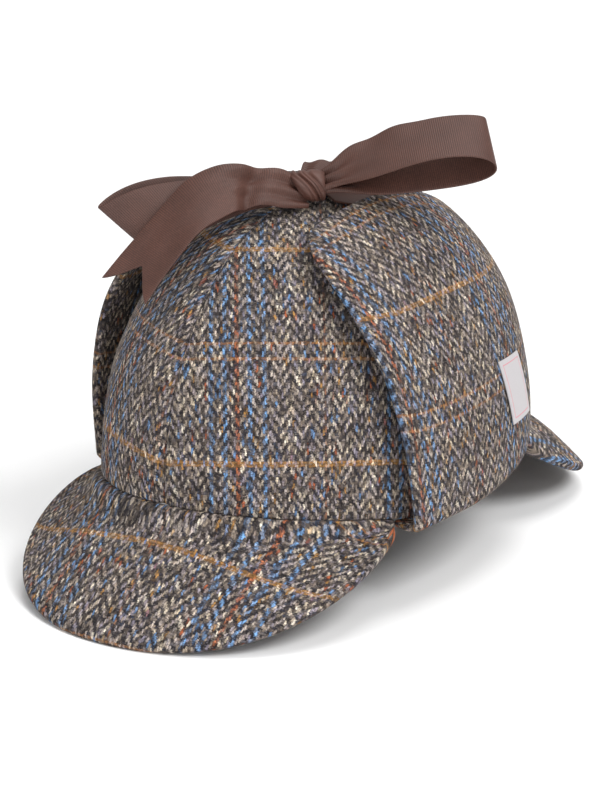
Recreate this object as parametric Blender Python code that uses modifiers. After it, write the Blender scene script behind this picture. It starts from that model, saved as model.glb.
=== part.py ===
"""Deerstalker hat in wool tweed: crown of four gores, two peaks, two ear flaps tied up with a ribbon bow.

Frame: metres, +Z up, the front peak points to -Y, the wearer's left is +X, the floor is z = 0.
Angles round the crown start at the middle of the front and grow towards the wearer's left.
"""
import math

import bmesh
import bpy
from mathutils import Vector

for item in list(bpy.data.objects):
    bpy.data.objects.remove(item, do_unlink=True)

MM = 0.001
GAP = 0.3 * MM

# Crown sizes
CROWN_HALF_WIDTH = 79.0 * MM
CROWN_HALF_LENGTH = 105.0 * MM
CROWN_TOP = 156.0 * MM
CROWN_FULLNESS = 2.18
CROWN_CLOTH = 2.0 * MM
CROWN_APEX_HOLE = 1.2 * MM
CROWN_SEAM_GAP = 0.6 * MM
RIM_FRONT = 46.0 * MM
RIM_SIDE = 35.5 * MM
RIM_BACK = 49.0 * MM
RIM_SIDE_ANGLE = 68.0
CROWN_CENTRE_Y = -5.0 * MM

# Peak sizes
PEAK_THICKNESS = 4.5 * MM
PEAK_TUCK = 3.0 * MM
PEAK_FLOOR_CUT = 2.0 * MM
FRONT_PEAK_REACH = 42.0 * MM
FRONT_PEAK_HALF_ANGLE = 66.0
BACK_PEAK_REACH = 52.0 * MM
BACK_PEAK_HALF_ANGLE = 47.0

# Ear flap sizes
FLAP_THICKNESS = 3.6 * MM
FLAP_BASE_FRONT = 67.0
FLAP_BASE_REAR = 131.0
FLAP_TIP_FROM_CENTRE = 0.19
FLAP_FRONT_EDGE = -0.34
FLAP_REAR_EDGE = 0.46
FLAP_BELLY = 0.5 * MM
FLAP_FRONT_CURL = 9.0 * MM

# Ribbon sizes
RIBBON_WIDTH = 25.0 * MM
RIBBON_THICKNESS = 0.9 * MM
KNOT_LENGTH = 15.0 * MM
KNOT_HEIGHT = 13.0 * MM
KNOT_DEPTH = 14.0 * MM
KNOT_LIFT = 8.2 * MM
KNOT_ANGLE = 36.0
KNOT_CLIMB = 0.875
LEFT_LOOP_LENGTH = 78.0 * MM
LEFT_LOOP_SPREAD = 20.0 * MM
LEFT_LOOP_ARCH = 4.0 * MM
LEFT_LOOP_DROOP = 0.0 * MM
RIGHT_LOOP_LENGTH = 77.0 * MM
RIGHT_LOOP_SPREAD = 13.0 * MM
RIGHT_LOOP_ARCH = 1.5 * MM
RIGHT_LOOP_DROOP = 19.0 * MM
LOOP_GATHER = 1.6 * MM
TAIL_GATHER = 2.0 * MM
FRONT_TAIL_REACH = 78.0 * MM
BACK_TAIL_REACH = 80.0 * MM
TAIL_NOTCH = 0.09

# Label sizes
LABEL_WIDTH = 24.0 * MM
LABEL_HEIGHT = 31.0 * MM
LABEL_THICKNESS = 0.8 * MM
LABEL_ANGLE = 104.0
LABEL_CLIMB = 0.085

# The bow lies across the crown along this direction, turned from +X towards +Y
BOW_TURN = math.radians(35.0)
BOW_SIDE = Vector((math.cos(BOW_TURN), math.sin(BOW_TURN), 0.0))
BOW_FRONT = Vector((math.sin(BOW_TURN), -math.cos(BOW_TURN), 0.0))
UP = Vector((0.0, 0.0, 1.0))


def rim_height(angle):
    """Height of the crown's lower edge at an angle from the front, in radians."""
    turned = abs((math.degrees(angle) + 180.0) % 360.0 - 180.0)
    if turned < RIM_SIDE_ANGLE:
        arch = math.cos(math.pi / 2.0 * turned / RIM_SIDE_ANGLE) ** 0.8
        return RIM_SIDE + (RIM_FRONT - RIM_SIDE) * arch
    rise = 0.5 - 0.5 * math.cos(math.pi * (turned - RIM_SIDE_ANGLE) / (180.0 - RIM_SIDE_ANGLE))
    return RIM_SIDE + (RIM_BACK - RIM_SIDE) * rise


def crown_skin(angle, climb):
    """Outer skin of the crown: climb runs from 0 at the rim to 1 at the top."""
    power = 2.0 / CROWN_FULLNESS
    turn = min(max(climb, 0.0), 1.0) * math.pi / 2.0
    spread = max(math.cos(turn), 1e-9) ** power
    rise = math.sin(turn) ** power
    low = rim_height(angle)
    return Vector((CROWN_HALF_WIDTH * math.sin(angle) * spread,
                   CROWN_CENTRE_Y - CROWN_HALF_LENGTH * math.cos(angle) * spread,
                   low + (CROWN_TOP - low) * rise))


def crown_normal(angle, climb):
    """Outward direction of the crown's skin."""
    step = 0.01
    low = max(climb - step, 0.0)
    high = min(climb + step, 0.985)
    if high <= low:
        low = high - step
    around = crown_skin(angle + step, min(climb, 0.97)) - crown_skin(angle - step, min(climb, 0.97))
    upward = crown_skin(angle, high) - crown_skin(angle, low)
    return around.cross(upward).normalized()


def above_crown(angle, climb, lift):
    """A point lifted off the crown's skin."""
    return crown_skin(angle, climb) + crown_normal(angle, climb) * lift


def make_material(name, colour, roughness):
    material = bpy.data.materials.new(name)
    material.use_nodes = True
    shader = material.node_tree.nodes["Principled BSDF"]
    shader.inputs["Base Color"].default_value = (*colour, 1.0)
    shader.inputs["Roughness"].default_value = roughness
    return material


def new_collection(name):
    collection = bpy.data.collections.new(name)
    bpy.context.scene.collection.children.link(collection)
    return collection


PARTS = new_collection("deerstalker_hat")
CUTTERS = new_collection("cutters")
COLOURS = {"tweed": ((0.155, 0.133, 0.122), 0.95), "ribbon": ((0.113, 0.061, 0.052), 0.6),
           "label": ((0.72, 0.71, 0.69), 0.8)}


def cloth(name, kind, columns, rows, place, thickness, side=0.0, round_edge=0.0):
    """A grid laid out by place(across, along) and thickened into one closed solid."""
    mesh = bpy.data.meshes.new(name)
    grid = bmesh.new()
    bmesh.ops.create_grid(grid, x_segments=columns, y_segments=rows, size=0.5)
    for vertex in grid.verts:
        vertex.co = place(vertex.co.x + 0.5, vertex.co.y + 0.5)
    grid.to_mesh(mesh)
    grid.free()
    piece = bpy.data.objects.new(name, mesh)
    PARTS.objects.link(piece)
    colour, roughness = COLOURS[kind]
    mesh.materials.append(make_material(name + "_" + kind, colour, roughness))
    shell = piece.modifiers.new("thickness", "SOLIDIFY")
    shell.thickness = thickness
    shell.offset = side
    shell.use_even_offset = False
    if round_edge > 0.0:
        rounding = piece.modifiers.new("rounded edges", "BEVEL")
        rounding.width = round_edge
        rounding.segments = 2
        rounding.limit_method = "ANGLE"
        rounding.angle_limit = math.radians(50.0)
    return piece


# Crown: four gores that meet on the seams over the front, the ears and the back
PANELS = (("crown_panel_front_left", 0.0, 1.0, -1.0), ("crown_panel_back_left", 90.0, 1.0, 1.0),
          ("crown_panel_back_right", 180.0, -1.0, 1.0), ("crown_panel_front_right", 270.0, -1.0, -1.0))


def make_panel(name, first_angle, side_x, side_y):
    last_climb = 1.0 - (CROWN_APEX_HOLE / CROWN_HALF_WIDTH) ** (CROWN_FULLNESS / 2.0) * 2.0 / math.pi

    def place(across, along):
        angle = math.radians(first_angle + 90.0 * across)
        climb = last_climb * (1.0 - (1.0 - along) ** 1.15)
        shift = Vector((side_x, side_y, 0.0)) * CROWN_SEAM_GAP / 2.0
        return crown_skin(angle, climb) + shift

    return cloth(name, "tweed", 12, 13, place, CROWN_CLOTH, side=-1.0)


for panel in PANELS:
    make_panel(*panel)


# Peaks: stiff crescents sewn under the rim, their lowest part flat on the floor
def floor_cutter():
    mesh = bpy.data.meshes.new("floor_cutter")
    block = bmesh.new()
    bmesh.ops.create_cube(block, size=1.0)
    bmesh.ops.translate(block, verts=block.verts, vec=(0.0, 0.0, -0.5))
    block.to_mesh(mesh)
    block.free()
    cutter = bpy.data.objects.new("floor_cutter", mesh)
    cutter.hide_render = True
    cutter.display_type = "WIRE"
    CUTTERS.objects.link(cutter)
    return cutter


FLOOR = floor_cutter()


def make_peak(name, middle, half_angle, reach, fan, corner, fullness, lip_curve, swell):
    """A crescent that grows out from under the rim between two angles.

    fan is how far its rays spread, corner and fullness how square its outline is,
    lip_curve how fast the outer edge rises from the floor towards the ends and
    swell how far its middle is domed, as a share of the reach.
    """
    half = PEAK_THICKNESS / 2.0
    end_angle = math.radians(middle + half_angle)
    end_height = rim_height(end_angle) - GAP - PEAK_THICKNESS * 0.72

    def place(across, along):
        share = 2.0 * across - 1.0
        angle = math.radians(middle + half_angle * share)
        inner = Vector(((CROWN_HALF_WIDTH - PEAK_TUCK) * math.sin(angle),
                        CROWN_CENTRE_Y - (CROWN_HALF_LENGTH - PEAK_TUCK) * math.cos(angle),
                        rim_height(angle) - GAP - PEAK_THICKNESS * 0.72))
        ray = math.radians(middle + half_angle * share * fan)
        grow = PEAK_TUCK + reach * max(1.0 - abs(share) ** corner, 0.0) ** (1.0 / fullness)
        lip = half - PEAK_FLOOR_CUT
        lip += (end_height - lip) * abs(share) ** lip_curve
        outer = inner + Vector((math.sin(ray), -math.cos(ray), 0.0)) * grow
        outer.z = lip
        point = inner.lerp(outer, along)
        point.z += reach * swell * math.sin(math.pi * along) * (1.0 - share * share)
        return point

    peak = cloth(name, "tweed", 26, 5, place, PEAK_THICKNESS, round_edge=PEAK_THICKNESS * 0.4)
    cut = peak.modifiers.new("flat on the floor", "BOOLEAN")
    cut.operation = "DIFFERENCE"
    cut.solver = "EXACT"
    cut.object = FLOOR
    return peak


make_peak("front_peak", 0.0, FRONT_PEAK_HALF_ANGLE, FRONT_PEAK_REACH, 0.55, 3.2, 1.9, 2.7, 0.03)
make_peak("back_peak", 180.0, BACK_PEAK_HALF_ANGLE, BACK_PEAK_REACH, 0.7, 3.0, 1.8, 4.0, 0.08)


# Ear flaps: folded out from under the rim and laid up over the crown
def flap_spot(across, along):
    """Angle and climb on the crown for a spot of the left flap: along is 0 at the rim."""
    base = math.radians(FLAP_BASE_FRONT + (FLAP_BASE_REAR - FLAP_BASE_FRONT) * across)
    foot = Vector((math.sin(base), -math.cos(base)))
    round_off = (1.0 - (0.965 * along) ** 5.0) ** 0.2
    middle = (FLAP_FRONT_EDGE + FLAP_REAR_EDGE) / 2.0
    half = (FLAP_REAR_EDGE - FLAP_FRONT_EDGE) / 2.0
    tip = Vector((FLAP_TIP_FROM_CENTRE, middle + half * (2.0 * across - 1.0) * round_off))
    x = foot.x + (tip.x - foot.x) * along
    ease = 1.0 - (1.0 - along) ** 2.0
    y = foot.y + (tip.y - foot.y) * ease
    return math.atan2(x, -y), 1.0 - math.hypot(x, y)


def flap_lift(across, along):
    """How far the middle of the flap's cloth stands off the crown's skin."""
    rest = RIBBON_THICKNESS + 4.0 * GAP + FLAP_THICKNESS / 2.0
    belly = FLAP_BELLY * max(math.sin(math.pi * along ** 1.4), 0.0)
    curl = FLAP_FRONT_CURL * (1.0 - across) ** 6.0 * (0.55 + 1.0 * along - 1.5 * along ** 3.0)
    return rest + belly + curl


def make_flap(name, side):
    hook_rows = 4
    rows = 17

    def place(across, along):
        if side < 0.0:
            across = 1.0 - across
        row = along * rows
        if row < hook_rows:
            angle, climb = flap_spot(across, 0.0)
            swing = math.radians(-25.0 + 115.0 * row / hook_rows)
            outward = crown_normal(angle, 0.0)
            outward.z = 0.0
            outward.normalize()
            edge = crown_skin(angle, 0.0)
            radius = flap_lift(across, 0.0) + CROWN_CLOTH / 2.0
            point = edge + outward * (radius * math.sin(swing) - CROWN_CLOTH / 2.0)
            point.z -= (2.0 * GAP + FLAP_THICKNESS / 2.0) * math.cos(max(swing, 0.0))
        else:
            upward = (row - hook_rows) / (rows - hook_rows)
            angle, climb = flap_spot(across, upward)
            point = above_crown(angle, climb, flap_lift(across, upward))
        point.x *= side
        return point

    return cloth(name, "tweed", 12, rows, place, FLAP_THICKNESS, round_edge=FLAP_THICKNESS * 0.4)


make_flap("ear_flap_left", 1.0)
make_flap("ear_flap_right", -1.0)


# Label: a flat woven patch sewn near the rear edge of the left flap
def make_label():
    def place(across, along):
        angle = math.radians(LABEL_ANGLE) + LABEL_WIDTH * (across - 0.25 * along) / CROWN_HALF_LENGTH
        climb = LABEL_CLIMB + LABEL_HEIGHT * (along - 0.10 * across) / (1.3 * CROWN_TOP)
        lift = flap_lift(0.7, 0.3) + (FLAP_THICKNESS + LABEL_THICKNESS) / 2.0 + 1.7 * GAP
        return above_crown(angle, climb, lift)

    return cloth("label", "label", 6, 6, place, LABEL_THICKNESS)


make_label()

# Bow
KNOT = above_crown(math.radians(KNOT_ANGLE), KNOT_CLIMB, KNOT_LIFT)


def ribbon(name, columns, rows, path, width_way, width_share, gathers, notch):
    """A ribbon along path(t), its width along width_way(t), gathered by width_share(t), its end cut to a V."""
    step = 0.5 / rows

    def place(across, along):
        along *= 1.0 - notch * (1.0 - abs(2.0 * across - 1.0))
        share = width_share(along)
        ahead = path(min(along + step, 1.0)) - path(max(along - step, 0.0))
        wide = width_way(along)
        if ahead.length > 1e-9:
            ahead.normalize()
            wide = wide - ahead * wide.dot(ahead)
        wide.normalize()
        off = across - 0.5
        ripple = gathers * max(1.0 - share, 0.0) * math.cos(5.0 * math.pi * off)
        return path(along) + wide * RIBBON_WIDTH * share * off + ahead.cross(wide) * ripple

    return cloth(name, "ribbon", columns, rows, place, RIBBON_THICKNESS)


def smooth_row(table, along):
    """Values of a table of stations at a share of its length, on a smooth curve."""
    spot = along * (len(table) - 1)
    index = min(int(spot), len(table) - 2)
    part = spot - index
    rows = [table[min(max(index + shift, 0), len(table) - 1)] for shift in (-1, 0, 1, 2)]
    values = []
    for before, here, after, beyond in zip(*rows):
        slope_here = (after - before) / 2.0
        slope_after = (beyond - here) / 2.0
        cube = 2.0 * here - 2.0 * after + slope_here + slope_after
        square = 3.0 * after - 3.0 * here - 2.0 * slope_here - slope_after
        values.append(((cube * part + square) * part + slope_here) * part + here)
    return values


def bow_vector(side, front, up):
    return BOW_SIDE * side + BOW_FRONT * front + UP * up


def make_tail(name, reach, table):
    """A loose end: rows hold side, front, up as shares of the reach, then the width's direction and share."""
    def path(along):
        side, front, up = smooth_row(table, along)[:3]
        return KNOT + bow_vector(side, front, up) * reach

    def width_way(along):
        return bow_vector(*smooth_row(table, along)[3:6])

    def width_share(along):
        return smooth_row(table, along)[6]

    return ribbon(name, 4, 26, path, width_way, width_share, TAIL_GATHER, TAIL_NOTCH)


# side, front, up, width side, width front, width up, width share
FRONT_TAIL = (
    (-0.12, 0.08, -0.01, 0.0, 0.45, -0.90, 0.55),
    (-0.24, 0.15, 0.04, 0.08, 0.55, -0.80, 0.72),
    (-0.36, 0.20, 0.05, 0.14, 0.62, -0.72, 0.92),
    (-0.49, 0.24, 0.01, 0.34, 0.58, -0.70, 0.98),
    (-0.63, 0.29, -0.08, 0.50, 0.52, -0.66, 0.95),
    (-0.78, 0.36, -0.24, 0.58, 0.48, -0.62, 0.95),
    (-0.94, 0.45, -0.46, 0.62, 0.45, -0.60, 0.98),
)
make_tail("ribbon_tail_front", FRONT_TAIL_REACH, FRONT_TAIL)

BACK_TAIL = (
    (0.01, -0.12, -0.01, 0.82, 0.57, 0.0, 0.50),
    (0.06, -0.22, -0.01, 0.82, 0.57, 0.0, 0.70),
    (0.14, -0.36, -0.01, 0.82, 0.57, 0.0, 0.90),
    (0.24, -0.52, -0.02, 0.82, 0.57, 0.0, 0.92),
    (0.34, -0.68, -0.06, 0.82, 0.57, 0.0, 0.92),
    (0.43, -0.82, -0.14, 0.82, 0.57, 0.0, 0.92),
    (0.51, -0.95, -0.27, 0.82, 0.57, 0.0, 0.92),
)
make_tail("ribbon_tail_back", BACK_TAIL_REACH, BACK_TAIL)


def make_loop(name, length, spread, way, wide, arch, droop, flare, lean):
    """A loop of the bow: out from the knot, round the end and back.

    way is its direction, wide the direction of the ribbon's width, arch the rise
    of its middle, droop the fall of its end, flare how much wider it opens
    towards the front edge and lean how far that edge stays behind.
    """
    way = way.normalized()
    wide = (wide - way * wide.dot(way)).normalized()
    apart = wide.cross(way).normalized()
    start = KNOT_LENGTH / 2.0 + 2.0 * GAP

    def spot(along, off):
        turn = 2.0 * math.pi * (0.03 + 0.94 * along)
        reach = (1.0 - math.cos(turn)) / 2.0
        out = start + (length - start + lean * RIBBON_WIDTH * off) * reach
        open_by = spread / 2.0 * math.sin(turn) * math.sin(turn / 2.0) ** 0.6 * (1.0 + flare * off)
        point = KNOT + way * out + apart * open_by
        point.z += arch * math.sin(math.pi * reach) - droop * reach * reach
        share = 1.0 - 0.46 * math.exp(-((out - start) / (0.30 * length)) ** 2.0)
        fade = math.exp(-((out - start) / (0.16 * length)) ** 2.0)
        ripple = LOOP_GATHER * math.cos(5.0 * math.pi * off) * fade
        return point + wide * RIBBON_WIDTH * share * off + apart * ripple

    def place(across, along):
        return spot(along, across - 0.5)

    return cloth(name, "ribbon", 5, 28, place, RIBBON_THICKNESS)


make_loop("ribbon_loop_left", LEFT_LOOP_LENGTH, LEFT_LOOP_SPREAD,
          bow_vector(0.97, 0.0, 0.25), bow_vector(0.0, 0.88, -0.48),
          LEFT_LOOP_ARCH, LEFT_LOOP_DROOP, 0.7, 0.0)
make_loop("ribbon_loop_right", RIGHT_LOOP_LENGTH, RIGHT_LOOP_SPREAD,
          bow_vector(-0.97, 0.10, 0.0), bow_vector(0.20, 0.38, -0.80),
          RIGHT_LOOP_ARCH, RIGHT_LOOP_DROOP, 0.3, -0.50)


# Knot: a barrel of ribbon round the crossing, with the diagonal creases of the pull
def make_knot():
    mesh = bpy.data.meshes.new("ribbon_knot")
    ball = bmesh.new()
    bmesh.ops.create_uvsphere(ball, u_segments=18, v_segments=12, radius=1.0)
    for vertex in ball.verts:
        x, y, z = vertex.co
        barrel = 1.0 + 0.10 * (1.0 - x * x)
        crease = 1.0 + 0.05 * math.cos(3.0 * math.atan2(z, y) * 2.0 + 3.0 * x) * (1.0 - x * x)
        side = math.copysign(abs(x) ** 0.7, x) * KNOT_LENGTH / 2.0
        front = -y * barrel * crease * KNOT_DEPTH / 2.0
        up = z * barrel * crease * KNOT_HEIGHT / 2.0
        vertex.co = KNOT + bow_vector(side, front, up)
    ball.to_mesh(mesh)
    ball.free()
    knot = bpy.data.objects.new("ribbon_knot", mesh)
    colour, roughness = COLOURS["ribbon"]
    mesh.materials.append(make_material("ribbon_knot_ribbon", colour, roughness))
    PARTS.objects.link(knot)


make_knot()


# Ties: from under the tips of the flaps, over the crown, to the knot
def make_tie(name, table):
    """A strip laid over the crown: rows hold x and y as shares of the crown, the lift and the width share."""
    def spot(x, y, lift):
        return above_crown(math.atan2(x, -y), tie_climb(x, y), 2.0 * GAP + RIBBON_THICKNESS * (0.5 + lift))

    def place(across, along):
        x, y, lift, share = smooth_row(table, along)
        middle = spot(x, y, lift)
        after = spot(*smooth_row(table, min(along + 0.05, 1.0))[:3])
        before = spot(*smooth_row(table, max(along - 0.05, 0.0))[:3])
        ahead = after - before
        wide = ahead.cross(crown_normal(math.atan2(x, -y), tie_climb(x, y))).normalized()
        edge = middle + wide * RIBBON_WIDTH * share * (across - 0.5)
        return spot(edge.x / CROWN_HALF_WIDTH, (edge.y - CROWN_CENTRE_Y) / CROWN_HALF_LENGTH, lift)

    return cloth(name, "ribbon", 3, 10, place, RIBBON_THICKNESS)


def tie_climb(x, y):
    """How far up the crown a spot lies whose plan shares are x and y."""
    return math.acos(min(math.hypot(x, y), 1.0) ** (CROWN_FULLNESS / 2.0)) * 2.0 / math.pi


# x, y, lift, width share
make_tie("ribbon_tie_left", ((0.30, 0.13, 0.0, 0.70), (0.25, 0.07, 0.1, 0.64), (0.21, 0.0, 0.3, 0.56),
                             (0.18, -0.05, 0.8, 0.50), (0.16, -0.09, 1.6, 0.44)))
make_tie("ribbon_tie_right", ((-0.32, 0.10, 0.0, 0.70), (-0.22, 0.06, 0.1, 0.66), (-0.11, 0.01, 0.2, 0.58),
                              (-0.02, -0.06, 0.6, 0.50), (0.04, -0.12, 1.6, 0.44)))
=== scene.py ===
# %% [markdown]
# A deerstalker hat in wool tweed, dressed in Blender
#
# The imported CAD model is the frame: it says where each piece of cloth is and how big it is. This lesson
# lays finer cloth over it, gives every thread its place, and lights it as a studio would. Lengths are in
# metres unless a name ends in _MM. The front peak points to -Y and +X is the wearer's left.

# %% Load the frame
import math

import bmesh
import bpy
import numpy as np
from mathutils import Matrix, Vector, noise


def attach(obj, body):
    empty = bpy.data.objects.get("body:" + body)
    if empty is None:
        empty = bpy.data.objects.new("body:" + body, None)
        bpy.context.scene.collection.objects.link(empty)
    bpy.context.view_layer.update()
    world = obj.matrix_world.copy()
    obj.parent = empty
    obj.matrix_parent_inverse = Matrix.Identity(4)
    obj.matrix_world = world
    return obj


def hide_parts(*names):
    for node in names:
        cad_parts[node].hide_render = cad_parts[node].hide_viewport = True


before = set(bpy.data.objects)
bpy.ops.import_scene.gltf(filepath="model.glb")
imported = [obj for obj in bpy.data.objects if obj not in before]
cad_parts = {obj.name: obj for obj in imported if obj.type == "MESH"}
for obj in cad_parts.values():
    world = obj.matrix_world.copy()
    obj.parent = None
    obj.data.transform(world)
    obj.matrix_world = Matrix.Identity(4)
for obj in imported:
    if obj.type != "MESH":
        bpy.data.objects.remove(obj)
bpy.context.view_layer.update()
MM = 0.001


def new_object(name, data):
    """Puts a mesh, lamp or camera into the scene as an object."""
    made = bpy.data.objects.new(name, data)
    bpy.context.scene.collection.objects.link(made)
    return made


# %% [markdown]
# The camera
#
# The photograph was taken from the wearer's front left, a little above the hat, with a long lens: the
# rim's curve and the two peaks fix the angle. A long lens far away keeps the hat's proportions true, and
# a small shift puts it where the photograph has it.

# %% Camera
VIEW_AZIMUTH = math.radians(35.0)
VIEW_ELEVATION = math.radians(17.0)
VIEW_DISTANCE = 1.5
VIEW_TARGET = Vector((0.0, -0.005, 0.080))
towards_camera = Vector((math.sin(VIEW_AZIMUTH) * math.cos(VIEW_ELEVATION),
                         -math.cos(VIEW_AZIMUTH) * math.cos(VIEW_ELEVATION),
                         math.sin(VIEW_ELEVATION)))
camera_data = bpy.data.cameras.new("camera")
camera_data.lens = 160.0
camera_data.sensor_width = 36.0
camera_data.shift_x = -0.015
camera_data.shift_y = -0.048
camera = new_object("camera", camera_data)
camera.location = VIEW_TARGET + towards_camera * VIEW_DISTANCE
camera.rotation_mode = "QUATERNION"
camera.rotation_quaternion = (-towards_camera).to_track_quat("-Z", "Y")
bpy.context.scene.camera = camera
print("camera at", [round(value, 3) for value in camera.location])

# %% [markdown]
# Helpers for colours and nodes
#
# Colours are written as sRGB hex values, as a paint card gives them, and one function turns them into
# the linear light that Blender works in. Another adds a shader node with its settings and its links, so
# that a pattern reads as a short list of steps.


# %% Colour and node helpers
def linear(code):
    """An sRGB hex colour as linear red, green, blue and alpha."""
    values = [int(code[place:place + 2], 16) / 255.0 for place in (1, 3, 5)]
    return [v / 12.92 if v <= 0.04045 else ((v + 0.055) / 1.055) ** 2.4 for v in values] + [1.0]


def add(tree, kind, feeds=(), operation=None, **settings):
    """Adds a node and feeds its inputs, in order or by name or number.

    A feed is a number, a colour, a socket, or a node, which stands for its first output.
    """
    made = tree.nodes.new("ShaderNode" + kind)
    if operation:
        made.operation = operation
    for name, value in settings.items():
        setattr(made, name, value)
    for place, value in feeds.items() if isinstance(feeds, dict) else enumerate(feeds):
        if isinstance(value, bpy.types.Node):
            value = value.outputs[0]
        if isinstance(value, bpy.types.NodeSocket):
            tree.links.new(value, made.inputs[place])
        else:
            made.inputs[place].default_value = value
    return made


def new_material(name, roughness, sheen, sheen_tint, specular=0.25):
    """A material whose constant values sit on its own Principled shader."""
    material = bpy.data.materials.new(name)
    material.use_nodes = True
    shader = material.node_tree.nodes["Principled BSDF"]
    shader.inputs["Roughness"].default_value = roughness
    shader.inputs["Specular IOR Level"].default_value = specular
    shader.inputs["Sheen Weight"].default_value = sheen
    shader.inputs["Sheen Roughness"].default_value = 0.5
    shader.inputs["Sheen Tint"].default_value = linear(sheen_tint)
    return material, material.node_tree


def end_material(material, colour, relief, strength, depth):
    """Leads the colour and the small relief of the threads into the shader."""
    tree = material.node_tree
    shader = tree.nodes["Principled BSDF"]
    bump = add(tree, "Bump", {"Strength": strength, "Distance": depth, "Height": relief})
    tree.links.new(colour, shader.inputs["Base Color"])
    tree.links.new(bump.outputs[0], shader.inputs["Normal"])
    return material


def fill_ramp(ramp_node, stops, interpolation="LINEAR"):
    """Sets the stops of a colour ramp: place, hex colour and, where it isn't 1, alpha."""
    ramp = ramp_node.color_ramp
    ramp.interpolation = interpolation
    while len(ramp.elements) > 1:
        ramp.elements.remove(ramp.elements[-1])
    for number, (place, code, *alpha) in enumerate(stops):
        element = ramp.elements[0] if number == 0 else ramp.elements.new(place)
        element.position = place
        element.color = linear(code)[:3] + (alpha or [1.0])
    return ramp_node


# %% [markdown]
# The tweed
#
# The cloth is a carded-wool herringbone: a two-and-two twill whose diagonal turns round every five
# threads. Light warp threads run up the cloth and dark weft threads across it, and over both lies a
# check of single coloured threads. The real threads are about 0.8 mm apart across and 1.3 mm along,
# which just shows at this distance, so the shader draws each float of each thread by itself. It reads
# the flat cloth's own millimetres, which every tweed piece carries, so that the pattern follows the cut.

# %% Thread spacing and check
WARP_SPACING_MM = 0.84
WEFT_SPACING_MM = 1.26
COLUMN_THREADS = 5
TWILL_REPEAT = 4
CHECK_WARP_THREADS = 90
CHECK_WEFT_THREADS = 72

# colour, first thread of the stripe, threads wide
WARP_STRIPES = (("#6A9ACC", 31, 2), ("#6A9ACC", 38, 2), ("#A95E36", 44, 2), ("#6A9ACC", 50, 2),
                ("#6A9ACC", 57, 2), ("#8E5E42", 87, 1))
WEFT_STRIPES = (("#A06B3E", 32, 1), ("#A06B3E", 37, 1), ("#B98443", 70, 2))

# place on the ramp, colour of the carded wool, alpha: narrow bands are flecks of ochre, blue and rust
WARP_WOOL = ((0.0, "#35302F"), (0.12, "#5B514B"), (0.24, "#A39482"), (0.36, "#8A7B70"),
             (0.46, "#8D8696"), (0.58, "#CFC0A9"), (0.70, "#978D8C"), (0.80, "#C2B3A8"),
             (0.865, "#D3C2A6"), (0.87, "#A87C44"), (0.9, "#A87C44"),
             (0.905, "#5C82B0"), (0.945, "#6B8FB8"), (0.95, "#A2552F"),
             (0.97, "#A2552F"), (0.975, "#DFD4C2"), (1.0, "#DFD4C2"))
WEFT_WOOL = ((0.0, "#12141C"), (0.24, "#20212B"), (0.40, "#322D2E"), (0.54, "#272E40"),
             (0.68, "#4A4240"), (0.80, "#6E6259"), (0.88, "#394459"), (1.0, "#9C8D80"))
CHECK_WIDTH_MM = CHECK_WARP_THREADS * WARP_SPACING_MM
CHECK_HEIGHT_MM = CHECK_WEFT_THREADS * WEFT_SPACING_MM

# The middles of the rust stripe and of the broad amber one, from which the pieces place their cloth
RUST_THREAD_MM = 45.0 * WARP_SPACING_MM
AMBER_THREAD_MM = 71.0 * WEFT_SPACING_MM
print("check, mm:", round(CHECK_WIDTH_MM, 1), "by", round(CHECK_HEIGHT_MM, 1))


# %% Tweed material
def stripe_stops(stripes, threads):
    """Ramp stops that give a stripe's colour with alpha 1 on its threads and alpha 0 between them."""
    stops = [(0.0, "#000000", 0.0)]
    for code, first, wide in stripes:
        stops.append((first / threads, code, 1.0))
        stops.append(((first + wide) / threads, "#000000", 0.0))
    return stops


def check_threads(tree, thread, stripes, threads):
    """The check's colour on a thread of the given number, with alpha 0 off the stripes."""
    middle = add(tree, "Math", [thread, 0.5], "ADD")
    turn = add(tree, "Math", [middle, float(threads)], "FLOORED_MODULO")
    place = add(tree, "Math", [turn, float(threads)], "DIVIDE")
    return fill_ramp(add(tree, "ValToRGB", [place]), stripe_stops(stripes, threads), "CONSTANT")


def chance_number(tree, x, y, seed):
    """A number from 0 to 1 for each pair of whole numbers."""
    name = add(tree, "CombineXYZ", [x, y, seed])
    return add(tree, "TexWhiteNoise", {"Vector": name}, noise_dimensions="3D")


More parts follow.
